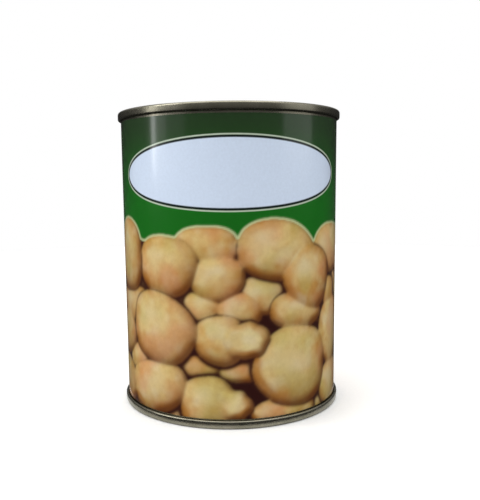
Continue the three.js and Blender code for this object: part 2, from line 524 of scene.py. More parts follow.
@dataclass(frozen=True)
class SealingCompound:
    """Can sealing compound: a filled synthetic rubber, poured as a liquid and dried, dull and grey."""

    name: str = "synthetic_rubber_compound"
    colour: str = "#7d8078"
    dark_colour: str = "#5d6059"
    roughness: float = 0.72
    grain: float = 0.35
    bump_depth: float = 0.03

    def material(self) -> bpy.types.Material:
        """Builds the material, with a fine grain in its colour and height.

        Returns:
            The material.
        """
        surface = Surface.named(self.name, Roughness=self.roughness, IOR=1.5)
        grain = noise(surface.tree, object_place(surface.tree), self.grain, detail=3.0)
        surface.feed(blend(surface.tree, grain, self.dark_colour, self.colour), "Base Color")
        surface.bump(grain, self.bump_depth)
        return surface.material


@dataclass(frozen=True)
class DriedGlue:
    """Label paste and hot-melt glue, dried to a translucent yellow skin with a few blisters."""

    name: str = "dried_label_glue"
    colour: str = "#dfd09a"
    dark_colour: str = "#bfa768"
    roughness: float = 0.38
    blister: float = 1.6
    bump_depth: float = 0.02

    def material(self) -> bpy.types.Material:
        """Builds the material, with blistered height and a colour that is deeper between blisters.

        Returns:
            The material.
        """
        surface = Surface.named(self.name, Roughness=self.roughness, IOR=1.48)
        cells = {"Vector": object_place(surface.tree), "Scale": 1 / (self.blister * MM)}
        blisters = add_node(surface.tree, "ShaderNodeTexVoronoi", cells).outputs["Distance"]
        surface.feed(blend(surface.tree, blisters, self.colour, self.dark_colour), "Base Color")
        surface.bump(blisters, self.bump_depth)
        return surface.material


@dataclass(frozen=True)
class MushroomFlesh:
    """Whole button mushrooms, blanched and kept in brine: smooth, wet and tan, browner in patches."""

    name: str = "blanched_mushroom_flesh"
    colour: str = "#dcc294"
    brown_colour: str = "#b98f58"
    speck_colour: str = "#8a6236"
    roughness: float = 0.34
    wetness: float = 0.5
    wet_roughness: float = 0.12
    patch: float = 7.0
    patch_span: Span = (0.4, 0.7)
    speck: float = 0.9
    speck_span: Span = (0.66, 0.78)
    speck_strength: float = 0.6
    bump_depth: float = 0.12

    def material(self) -> bpy.types.Material:
        """Builds the material: brown patches and specks, a soft bump, and a wet coat.

        Returns:
            The material.
        """
        coat = {"Coat_Weight": self.wetness, "Coat_Roughness": self.wet_roughness}
        surface = Surface.named(self.name, Roughness=self.roughness, IOR=1.4, **coat)
        tree = surface.tree
        place = object_place(tree)
        brown = ramp(tree, noise(tree, place, self.patch, detail=4.0), self.patch_span)
        specks = noise(tree, place, self.speck, detail=2.0)
        few = ramp(tree, specks, self.speck_span, (0.0, self.speck_strength))
        colour = blend(tree, brown, self.colour, self.brown_colour)
        surface.feed(blend(tree, few, colour, self.speck_colour), "Base Color")
        surface.bump(specks, self.bump_depth)
        return surface.material


@dataclass(frozen=True)
class LabelPrint:
    """Coated label paper, offset printed and gloss varnished.

    The pictured mushrooms come as a colour for each vertex. The green field, which deepens towards
    the top, and the blank oval panel with its dark line and pale rim are drawn from the label's own
    plan: millimetres round the can and millimetres up it. The varnish mirrors sharply over the ink.
    """

    name: str = "varnished_label_paper"
    paper_colour: str = "#e9e6dc"
    low_green: str = "#0a600e"
    high_green: str = "#16330f"
    green_heights: Span = (76.0, 108.0)
    panel_colour: str = "#c6d3e6"
    line_colour: str = "#07180f"
    rim_colour: str = "#bccab6"
    panel_centre: Span = (0.9, 89.45)
    panel_half_size: Span = (46.3, 12.65)
    rim_width: float = 0.42
    line_width: float = 0.9
    edge: float = 0.18
    roughness: float = 0.34
    ink_sheen: float = 0.15
    varnish: float = 1.0
    varnish_roughness: float = 0.15
    fibre: float = 0.8
    fibre_span: Span = (0.25, 0.75)
    mottle: Span = (0.96, 1.03)
    ripple: float = 5.0
    ripple_depth: float = 0.012

    def material(self, repeat: float) -> bpy.types.Material:
        """Builds the material.

        Args:
            repeat: Millimetres round the can after which the print repeats.

        Returns:
            The material, which reads the attributes plan, picture and picture_cover.
        """
        varnish = {"Coat_Weight": self.varnish, "Coat_Roughness": self.varnish_roughness, "Coat_IOR": 1.5}
        ink = {"Roughness": self.roughness, "IOR": 1.45, "Specular_IOR_Level": self.ink_sheen}
        surface = Surface.named(self.name, **ink, **varnish)
        tree = surface.tree
        plan, picture, cover = (
            add_node(tree, "ShaderNodeAttribute", attribute_name=name)
            for name in ("plan", "picture", "picture_cover")
        )
        axes = add_node(tree, "ShaderNodeSeparateXYZ", {"Vector": plan.outputs["Vector"]}).outputs
        across = calculate(tree, "WRAP", axes["X"], repeat / 2, -repeat / 2)
        place = object_place(tree)
        mottle = ramp(tree, noise(tree, place, self.fibre, detail=3.0), self.fibre_span, self.mottle)
        deeper = ramp(tree, axes["Y"], self.green_heights, smooth=True)
        green = blend(tree, deeper, self.low_green, self.high_green)
        ink = blend(tree, cover.outputs["Fac"], green, picture.outputs["Color"])
        outside = self.panel_distance(tree, across, axes["Y"])
        inks = (self.rim_colour, self.line_colour, self.panel_colour)
        for colour, limit in zip(inks, (self.rim_width, 0.0, -self.line_width)):
            ink = blend(tree, ramp(tree, outside, (limit + self.edge, limit - self.edge)), ink, colour)
        scaled = add_node(tree, "ShaderNodeVectorMath", {0: ink, "Scale": mottle}, operation="SCALE")
        surface.feed(blend(tree, axes["Z"], self.paper_colour, scaled.outputs["Vector"]), "Base Color")
        ripples = noise(tree, place, self.ripple, detail=1.0)
        surface.bump(ripples, self.ripple_depth, 1.0, "Coat Normal")
        return surface.material

    def panel_distance(self, tree: Tree, across: Socket, height: Socket) -> Socket:
        """Adds the nodes that measure how far a point lies outside the oval panel.

        With q the point's distance from the centre counted in half sizes, and g the length of the
        same vector divided by the half sizes once more, the distance is q times (q minus 1) over g.

        Args:
            tree: The node tree.
            across: Millimetres round the can.
            height: Millimetres up the can.

        Returns:
            The distance in millimetres, below 0 inside the panel.
        """
        point = add_node(tree, "ShaderNodeCombineXYZ", {"X": across, "Y": height}).outputs["Vector"]
        offset = calculate_vector(tree, "SUBTRACT", point, (*self.panel_centre, 0.0))
        half = (*self.panel_half_size, 1.0)
        scaled = calculate_vector(tree, "DIVIDE", offset, half)
        reach = calculate_vector(tree, "LENGTH", scaled)
        slope = calculate_vector(tree, "LENGTH", calculate_vector(tree, "DIVIDE", scaled, half))
        product = calculate(tree, "MULTIPLY", reach, calculate(tree, "SUBTRACT", reach, 1.0))
        return calculate(tree, "DIVIDE", product, slope)


# ---------------------------------------------------------------- the printed picture


@dataclass(frozen=True)
class PicturedCap:
    """One mushroom cap of the printed picture, in millimetres on the label's plan.

    The cap is a rounded oval: its outline is where the two plan distances, each over its half size
    and raised to the power square, add up to 1. lift says how near it lies, bulge how far it swells
    and tone how pale it is.
    """

    across: float
    height: float
    half_width: float
    half_height: float
    turn: float = 0.0
    lift: float = 0.0
    bulge: float = 7.0
    tone: float = 0.0
    square: float = 2.2


@dataclass(frozen=True)
class PicturedStem:
    """One cut stem of the printed picture: a stub from a point, in a heading, with a pale cut face."""

    across: float
    height: float
    radius: float
    heading: float
    length: float
    lift: float
    taper: float = 0.1
    rise: float = 2.0
    bulge: float = 5.0
    flat: float = 0.9
    tone: float = 0.1


# Each cap: across, height, half width, half height, turn, lift, bulge, tone and, on some, square.
CAPS = (
    (-37.0, 61.0, 7.0, 5.0, 0, -5.0, 3.0, -0.6),
    (-36.0, 48.0, 9.0, 7.0, 0, -5.0, 3.0, -0.6),
    (-15.0, 46.5, 7.0, 5.0, 0, -3.5, 3.0, -0.3),
    (-9.6, 43.4, 7.2, 6.0, 10, -1.0, 5.5, 0.1),
    (2.6, 42.4, 8.2, 6.4, -6, -0.2, 5.5, 0.0),
    (11.0, 47.4, 8.4, 6.6, -8, -2.6, 5.5, 0.1),
    (40.0, 42.0, 9.0, 6.5, 0, -2.0, 4.0, -0.3),
    (5.0, 21.0, 9.0, 4.2, 0, -3.5, 3.0, -0.6),
    (-12.0, 22.0, 8.0, 4.0, 0, -4.0, 3.0, -0.8),
    (-18.5, 4.0, 6.5, 4.5, 0, -4.0, 3.0, -0.5),
    (38.5, 5.0, 7.0, 5.0, 0, -3.0, 3.0, -0.4),
    (54.0, 47.0, 9.5, 8.0, 0, -3.0, 4.0, -0.3),
    (55.0, 22.0, 9.5, 8.0, 0, -3.0, 4.0, -0.3),
    (-60.0, 45.0, 9.0, 8.0, 0, -3.0, 4.0, -0.3),
    (-62.0, 20.0, 9.0, 8.0, 0, -3.0, 4.0, -0.3),
    (-45.0, 20.0, 9.0, 8.0, 0, -3.0, 4.0, -0.3),
    (-8.5, 64.4, 11.2, 7.2, 0, 0.0, 5.0, -0.5),
    (48.0, 62.0, 14.6, 8.8, 0, 0.5, 6.0, 0.4),
    (-47.6, 59.8, 11.0, 13.0, 0, 4.5, 8.0, 0.3, 2.4),
    (-24.3, 57.5, 11.9, 10.5, -10, 3.5, 8.0, -0.1, 2.45),
    (17.9, 62.8, 15.2, 10.5, -6, 3.0, 8.0, 0.3, 2.15),
    (31.6, 52.6, 12.0, 10.8, -28, 6.0, 8.0, -0.4, 2.3),
    (-4.6, 53.6, 9.4, 7.6, 0, 2.0, 5.5, -0.2),
    (45.5, 45.5, 5.5, 5.5, 0, 3.5, 4.5, -0.3),
    (-43.0, 41.6, 13.0, 7.2, 0, 1.0, 5.0, -0.1),
    (-27.7, 34.6, 15.0, 12.3, -16, 6.5, 8.5, 0.3, 2.3),
    (-52.0, 29.5, 9.8, 8.2, 20, 2.5, 6.0, 0.0),
    (-3.6, 31.8, 8.9, 8.8, 0, 4.5, 7.0, 0.0),
    (25.6, 40.8, 11.6, 6.4, -4, 3.6, 6.5, -0.1),
    (24.8, 20.9, 16.2, 13.9, -14, 6.0, 9.0, 0.2, 2.3),
    (47.5, 30.5, 9.6, 13.0, 8, 4.0, 7.0, 0.6),
    (49.0, 10.0, 11.0, 8.8, 0, 3.5, 6.5, 0.4),
    (-37.5, 22.0, 10.0, 5.8, 12, 2.0, 4.5, 0.2),
    (-30.8, 12.8, 14.4, 9.5, 10, 5.0, 7.5, 0.1, 2.3),
    (-8.4, 8.8, 9.8, 9.7, 8, 4.5, 7.0, 0.1, 2.4),
    (21.0, 4.6, 13.0, 5.6, 0, 2.0, 4.5, 0.6),
    (-54.0, 10.5, 10.5, 9.5, 0, 3.0, 6.5, 0.2),
    (63.5, 57.5, 9.8, 11.0, 0, 3.0, 7.0, 0.1),
    (64.0, 28.0, 9.0, 9.5, 0, 2.0, 6.0, 0.0),
    (63.5, 42.5, 9.0, 6.8, 0, 2.0, 5.0, -0.1),
    (66.0, 12.0, 7.8, 8.0, 0, 1.0, 5.0, 0.1),
)
# Each stem: across, height, radius, heading, length and lift.
STEMS = (
    (2.2, 31.6, 5.9, 2, 5.0, 8.6),
    (-2.0, 9.7, 4.9, -20, 4.4, 6.4),
)

# The wavering outlines, as waves takes them.
CAP_WAVES = ((2, 1.7, 0.022), (3, 2.3, 0.024), (5, 1.0, 0.012))
STEM_WAVES = ((3, 1.0, 0.05), (5, 0.0, 0.045), (7, 2.0, 0.02))
WHOLE_WAVES = ((2, 1.0, 0.018), (3, 2.0, 0.014))


@dataclass(frozen=True)
class MushroomInks:
    """The inks of the pictured mushrooms, and the overall strength of red, green and blue."""

    cream: str = "#edcb91"
    tan: str = "#d59e58"
    cut_face: str = "#efdca8"
    pale: str = "#f2dfc6"
    pink: str = "#e79c70"
    olive: str = "#c9b765"
    ochre: str = "#c07a22"
    gleam: str = "#f3e3c4"
    gap: str = "#380f0a"
    halo: str = "#c3d19c"
    strength: Triple = (0.68, 0.68, 0.55)
    contrast: Triple = (0.85, 1.1, 1.3)


@dataclass
class MushroomPicture:
    """The printed picture of piled button mushrooms, worked out as a lit relief and then as ink.

    Every cap and stem swells from the plan, and the nearest shows. The relief's slope towards a soft
    light from the upper left gives the brightness, and how far a point lies below the relief round it
    gives the shade between mushrooms. shades holds, for each reach of shade in millimetres, its
    weight, and noise_sizes the sizes of the six noises in the order in which they are drawn.
    """

    period: float
    bottom: float = 2.5
    top: float = 77.5
    pitch: float = 0.25
    floor_height: float = -9.0
    growth: float = 1.04
    cap_dome: float = 2.1
    stem_dome: float = 2.6
    softness: float = 0.28
    fine_slope: float = 0.45
    broad_slope: float = 1.6
    halo: float = 0.72
    halo_blur: float = 0.5
    darkest: float = 0.27
    lit_gain: float = 0.89
    shade_gain: float = 0.62
    shade_slope: float = 1.2
    shade_depth: float = 0.6
    highlight: float = 0.5
    highlight_lean: float = 0.45
    highlight_spread: float = 0.11
    seed: int = 11
    light: Triple = (-0.34, 0.50, 0.80)
    shades: tuple[Span, ...] = ((0.6, 0.40), (1.5, 0.37), (4.0, 0.22))
    noise_sizes: tuple[float, ...] = (2.5, 0.8, 1.3, 3.5, 0.35, 3.0)
    inks: MushroomInks = field(default_factory=MushroomInks)

    def __post_init__(self) -> None:
        """Lays out the grid of the picture: one period round the can, from its bottom to its top."""
        columns = round(self.period / self.pitch)
        rows = round((self.top - self.bottom) / self.pitch)
        across = (np.arange(columns) + 0.5) * self.period / columns - self.period / 2
        height = self.bottom + (np.arange(rows) + 0.5) * self.pitch
        self.across, self.height = np.meshgrid(across, height)
        self.relief = np.full(self.across.shape, self.floor_height)
        self.tone = np.zeros_like(self.relief)
        self.face = np.zeros_like(self.relief)
        self.covered = np.zeros(self.relief.shape, bool)

    def blur(self, values: np.ndarray, radius: float) -> np.ndarray:
        """Blurs the picture with a Gaussian, round the can and mirrored at its upper and lower edge.

        The picture's spectrum is multiplied by exp(-2 (pi radius frequency) squared).

        Args:
            values: One value for each point of the grid.
            radius: The Gaussian's standard deviation in millimetres.

        Returns:
            The blurred values.
        """
        mirrored = np.concatenate([values, values[::-1]])
        up = np.fft.fftfreq(mirrored.shape[0], self.pitch)[:, None]
        along = np.fft.rfftfreq(mirrored.shape[1], self.pitch)[None]
        gain = np.exp(-2 * (math.pi * radius) ** 2 * (up**2 + along**2))
        return np.fft.irfft2(np.fft.rfft2(mirrored) * gain, s=mirrored.shape)[: len(values)]

    def noise(self, size: float, rng: np.random.Generator) -> np.ndarray:
        """Makes smooth noise of unit strength whose patches have a size in millimetres."""
        value = self.blur(rng.standard_normal(self.relief.shape), size)
        return value / value.std()

    def turned(self, across: float, height: float, turn: float) -> tuple[np.ndarray, np.ndarray]:
        """Measures the grid's points along and beside a direction through a point of the plan.

        Args:
            across: The point's millimetres round the can.
            height: The point's millimetres up the can.
            turn: The direction, in degrees up from the horizontal.

        Returns:
            Millimetres along the direction, and millimetres beside it.
        """
        right = (self.across - across + self.period / 2) % self.period - self.period / 2
        up = self.height - height
        cosine, sine = math.cos(math.radians(turn)), math.sin(math.radians(turn))
        return right * cosine + up * sine, up * cosine - right * sine

    def raise_relief(self, height: np.ndarray, inside: np.ndarray, tone: float) -> None:
        """Lets a shape show wherever it lies nearest, and marks what it covers.

        Args:
            height: How near the shape lies at each point.
            inside: Where the shape is.
            tone: How pale it is.
        """
        nearest = inside & (height > self.relief)
        self.relief = np.where(nearest, height, self.relief)
        self.tone = np.where(nearest, tone, self.tone)
        self.covered |= inside

    def add_cap(self, number: int, cap: PicturedCap) -> None:
        """Adds a cap, whose outline wavers a little in its own way.

        Args:
            number: The cap's number, which makes its waver its own.
            cap: The cap.
        """
        along, beside = self.turned(cap.across, cap.height, cap.turn)
        along = along / (cap.half_width * self.growth)
        beside = beside / (cap.half_height * self.growth)
        reach = (np.abs(along) ** cap.square + np.abs(beside) ** cap.square) ** (1 / cap.square)
        reach /= 1 + waves(np.arctan2(beside, along), CAP_WAVES, number)
        self.raise_relief(cap.lift + cap.bulge * dome(reach, self.cap_dome), reach < 1, cap.tone)

    def add_stem(self, stem: PicturedStem) -> None:
        """Adds a stub: points within its radius of a short line, with a pale flat face round its end.

        Args:
            stem: The stub.
        """
        along, beside = self.turned(stem.across, stem.height, stem.heading)
        share = np.clip(along / stem.length, 0, 1)
        angle = np.arctan2(beside, along - stem.length)
        radius = stem.radius * (1 + stem.taper * share) * (1 + waves(angle, STEM_WAVES))
        reach = np.hypot(along - share * stem.length, beside) / radius
        swell = stem.bulge * np.minimum(dome(reach, self.stem_dome), stem.flat)
        self.raise_relief(stem.lift + stem.rise * share + swell, reach < 1, stem.tone)
        face = np.hypot(along - stem.length, beside) / radius
        self.face = np.maximum(self.face, smooth_step(0.95, 0.35, face) * (reach < 1))

    def slopes(self, softness: float) -> tuple[np.ndarray, np.ndarray, np.ndarray]:
        """Gives the blurred relief's slope round the can and up it, and how squarely it faces out."""
        upward, sideways = np.gradient(self.blur(self.relief, softness), self.pitch)
        return sideways, upward, 1 / np.sqrt(1 + upward**2 + sideways**2)

    def shade(self) -> np.ndarray:
        """Works out the shade: how far each point lies below the blurred relief round it.

        Returns:
            The shade from 0 in the open to 1 in the gaps.
        """
        shade = np.zeros_like(self.relief)
        for reach, weight in self.shades:
            below = self.blur(self.relief, reach) - self.relief
            depth = below / (reach * self.shade_slope + self.shade_depth)
            shade += weight * np.clip(depth, 0, 1)
        return np.clip(shade, 0, 1)

    def paint(self) -> tuple[np.ndarray, np.ndarray]:
        """Turns the caps and stems into ink.

        Returns:
            The picture's linear colours, and its cover from 0 on the green field to 1 on the pile.
        """
        for number, row in enumerate(CAPS):
            self.add_cap(number, PicturedCap(*row))
        for row in STEMS:
            self.add_stem(PicturedStem(*row))
        rng = np.random.default_rng(self.seed)
        sideways, upward, facing = self.slopes(self.fine_slope)
        _, broad_upward, squarely = self.slopes(self.broad_slope)
        light = np.array(self.light) / np.linalg.norm(self.light)
        lit = np.clip((light[2] - sideways * light[0] - upward * light[1]) * facing, 0, 1)
        shade = self.shade()
        coarse, fine, paler, sheen, grain, hue = (self.noise(size, rng) for size in self.noise_sizes)
        patches = 0.6 * (coarse + fine)

        inks = self.inks
        tan = np.clip(0.4 - 0.5 * self.tone + 0.32 * patches, 0, 1)
        lower = np.clip(0.62 + 0.5 * broad_upward * squarely + 0.18 * sheen, 0, 1)
        layers = (
            (inks.tan, tan),
            (inks.cut_face, self.face * 0.7),
            (inks.pale, np.clip(0.22 * paler - 0.05, 0, 0.5)),
            (inks.pink, np.clip(0.4 * hue - 0.1, 0, 0.55)),
            (inks.olive, np.clip(-0.4 * hue - 0.1, 0, 0.5)),
            (inks.ochre, 0.9 * lower * smooth_step(0.89, 0.44, squarely)),
        )
        colour = linear(inks.cream)
        for ink, share in layers:
            colour = mix(colour, linear(ink), share)
        bright = (self.darkest + self.lit_gain * lit**0.9) * (1 - self.shade_gain * shade)
        bright = np.clip(bright * (1 + 0.03 * grain + 0.025 * patches), 0.02, None)
        colour = colour * bright[..., None] ** np.array(inks.contrast)
        aside = -sideways * facing - light[0] * self.highlight_lean
        above = -upward * facing - light[1] * self.highlight_lean
        gleam = np.exp(-(aside**2 + above**2) / self.highlight_spread) * self.highlight * (1 - shade)
        gleam = np.clip(gleam * np.clip(0.7 + 0.45 * sheen, 0, 1.5), 0, 1)
        colour = mix(colour, linear(inks.gleam), gleam)
        depth = np.where(self.covered, 0.94 * smooth_step(0.28, 0.64, shade), 1.0)
        colour = mix(colour, linear(inks.gap), depth) * np.array(inks.strength)
        colour = np.stack([self.blur(colour[..., i], self.softness) for i in range(3)], -1)

        below = np.maximum.accumulate(self.covered[::-1], 0)[::-1]
        open_share = self.blur(np.where(below, 0.0, 1.0), self.halo_blur)
        colour = mix(colour, linear(inks.halo), smooth_step(0.1, 0.4, open_share) * self.halo)
        return colour, smooth_step(0.98, 0.6, open_share)

    def sample(self, values: np.ndarray, across: np.ndarray, height: np.ndarray) -> np.ndarray:
        """Reads the picture between its points, weighting the four nearest by nearness.

        Args:
            values: One value or colour for each point of the grid.
            across: Millimetres round the can.
            height: Millimetres up the can, held to the picture's own height.

        Returns:
            The values there.
        """
        rows, columns = self.relief.shape
        x = (across + self.period / 2) / self.period * columns - 0.5
        y = np.clip((height - self.bottom) / self.pitch - 0.5, 0, rows - 1.001)
        left, low = np.floor(x).astype(int), np.floor(y).astype(int)
        beside, above = x - left, y - low
        if values.ndim == 3:
            beside, above = beside[..., None], above[..., None]
        left, right = left % columns, (left + 1) % columns
        lower = values[low, left] * (1 - beside) + values[low, right] * beside
        upper = values[low + 1, left] * (1 - beside) + values[low + 1, right] * beside
        return lower * (1 - above) + upper * above


# ---------------------------------------------------------------- the tin


@dataclass
class SeamSection:
    """The section of a double seam and of the panel inside it, in radii and depths below the crest."""

    end_gauge: float = 0.24
    body_gauge: float = 0.22
    seam_height: float = 3.0
    chuck_wall_radius: float = 41.46
    sink_wall_radius: float = 41.2
    end_hook_radius: float = 42.17
    body_hook_radius: float = 42.58
    body_middle_radius: float = 41.76
    end_hook_tip: float = 1.45
    body_bend: float = 1.15
    body_hook_tip: float = 2.4
    hook_start: float = 4.0
    curl_share: float = 0.99
    panel_depths: tuple[float, ...] = (3.0, 3.45, 3.9, 3.2)
    panel_radii: tuple[float, ...] = (19.0, 26.5, 33.0, 38.6)
    step_run: float = 1.2
    step_bend: float = 1.4
    sink_depth: float = 4.2
    sink_inner_radius: float = 39.72
    sink_bend: float = 0.62
    panel_bend: float = 0.7
    chuck_bend: float = 0.44
    shoulder_bend: float = 0.72
    arc_steps: int = 6

    def end_line(self) -> np.ndarray:
        """Draws the middle line of an end, from its centre out to the tip of its hook.

        Returns:
            Points of radius and height, 0 at the crest.
        """
        half = self.end_gauge / 2
        wall = SEAM_RADIUS - half
        foot = half - self.seam_height
        sink = -self.sink_depth - half
        curl = (wall - self.end_hook_radius) / 2 * self.curl_share
        corners = [(0.0, -self.panel_depths[0] - half, 0.0)]
        for radius, inner, outer in zip(self.panel_radii, self.panel_depths, self.panel_depths[1:]):
            corners.append((radius, -inner - half, self.step_bend))
            corners.append((radius + self.step_run, -outer - half, self.step_bend))
        corners += [
            (self.panel_radii[-1], -self.panel_depths[-1] - half, self.panel_bend),
            (self.sink_inner_radius, sink, self.sink_bend),
            (self.sink_wall_radius, sink, self.sink_bend),
            (self.chuck_wall_radius, -half, self.chuck_bend),
            (wall, -half, self.shoulder_bend),
            (wall, foot, curl),
            (self.end_hook_radius, foot, curl),
            (self.end_hook_radius, -self.end_hook_tip, 0.0),
        ]
        return rounded_line(corners, self.arc_steps)

    def hook_line(self) -> np.ndarray:
        """Draws the middle line of the body's flange, from the wall over the bend to the hook's tip.

        Returns:
            Points of radius and height, 0 at the crest.
        """
        bend = (self.body_hook_radius - self.body_middle_radius) / 2
        crown = bend - self.body_bend
        corners = [
            (self.body_middle_radius, -self.hook_start, 0.0),
            (self.body_middle_radius, crown, bend * self.curl_share),
            (self.body_hook_radius, crown, bend * self.curl_share),
            (self.body_hook_radius, -self.body_hook_tip, 0.0),
        ]
        return rounded_line(corners, self.arc_steps)


@dataclass
class CanTin:
    """The can's tin: a welded body and two identical pressed ends, seamed over its flanges."""

    section: SeamSection = field(default_factory=SeamSection)
    finish: LacqueredTinplate = field(default_factory=LacqueredTinplate)
    columns: int = 192

    def build(self) -> None:
        """Builds and dresses the body and both ends."""
        metal = self.finish.material()
        outline = sheet_outline(self.section.end_line(), self.section.end_gauge)
        for side in Side:
            end = build_mesh(f"{side.value}_end_shell", *revolve(placed(outline, side), self.columns))
            fit_out(end, metal, "tinplate", f"{side.value}_end")
        hook = self.section.hook_line()
        middle = np.concatenate([placed(hook, Side.BOTTOM)[::-1], placed(hook, Side.TOP)])
        wall = sheet_outline(middle, self.section.body_gauge)
        body = build_mesh("body_shell", *revolve(wall, self.columns))
        fit_out(body, metal, "tinplate", "can_body")


@dataclass
class SealingRings:
    """The compound in both seams: a flattened bead whose width swells and shrinks a little round it."""

    radius: float = 42.27
    depth: float = 0.43
    half_width: float = 0.42
    half_thickness: float = 0.12
    waver: float = 0.04
    columns: int = 192
    section_points: int = 16
    finish: SealingCompound = field(default_factory=SealingCompound)

    def build(self) -> None:
        """Builds both rings.

        The section is a rounded box: its half sizes times the cosine and sine of an angle, each to
        the power one half with its sign kept. The half width wavers with sines round the can.
        """
        rubber = self.finish.material()
        turn = np.arange(self.section_points) / self.section_points * FULL_TURN
        round_section = np.stack([np.cos(turn), np.sin(turn)], 1)
        box = np.sign(round_section) * np.abs(round_section) ** 0.5
        angle = np.arange(self.columns) / self.columns * FULL_TURN
        width = self.half_width - self.waver * (1 + np.sin(7 * angle) * np.cos(3 * angle + 1))
        radius = self.radius + box[:, :1] * width[None]
        for side in Side:
            line = placed(np.stack([box[:, 0], box[:, 1] * self.half_thickness - self.depth], 1), side)
            points = around(radius, angle[None], line[:, 1:]).reshape(-1, 3)
            faces = grid_faces(self.section_points, self.columns, True, True)
            faces = faces if side is Side.TOP else faces[:, ::-1]
            ring = build_mesh(f"{side.value}_compound_bead", points, [faces])
            fit_out(ring, rubber, "sealing_compound", f"{side.value}_seam_compound")


# ---------------------------------------------------------------- the label


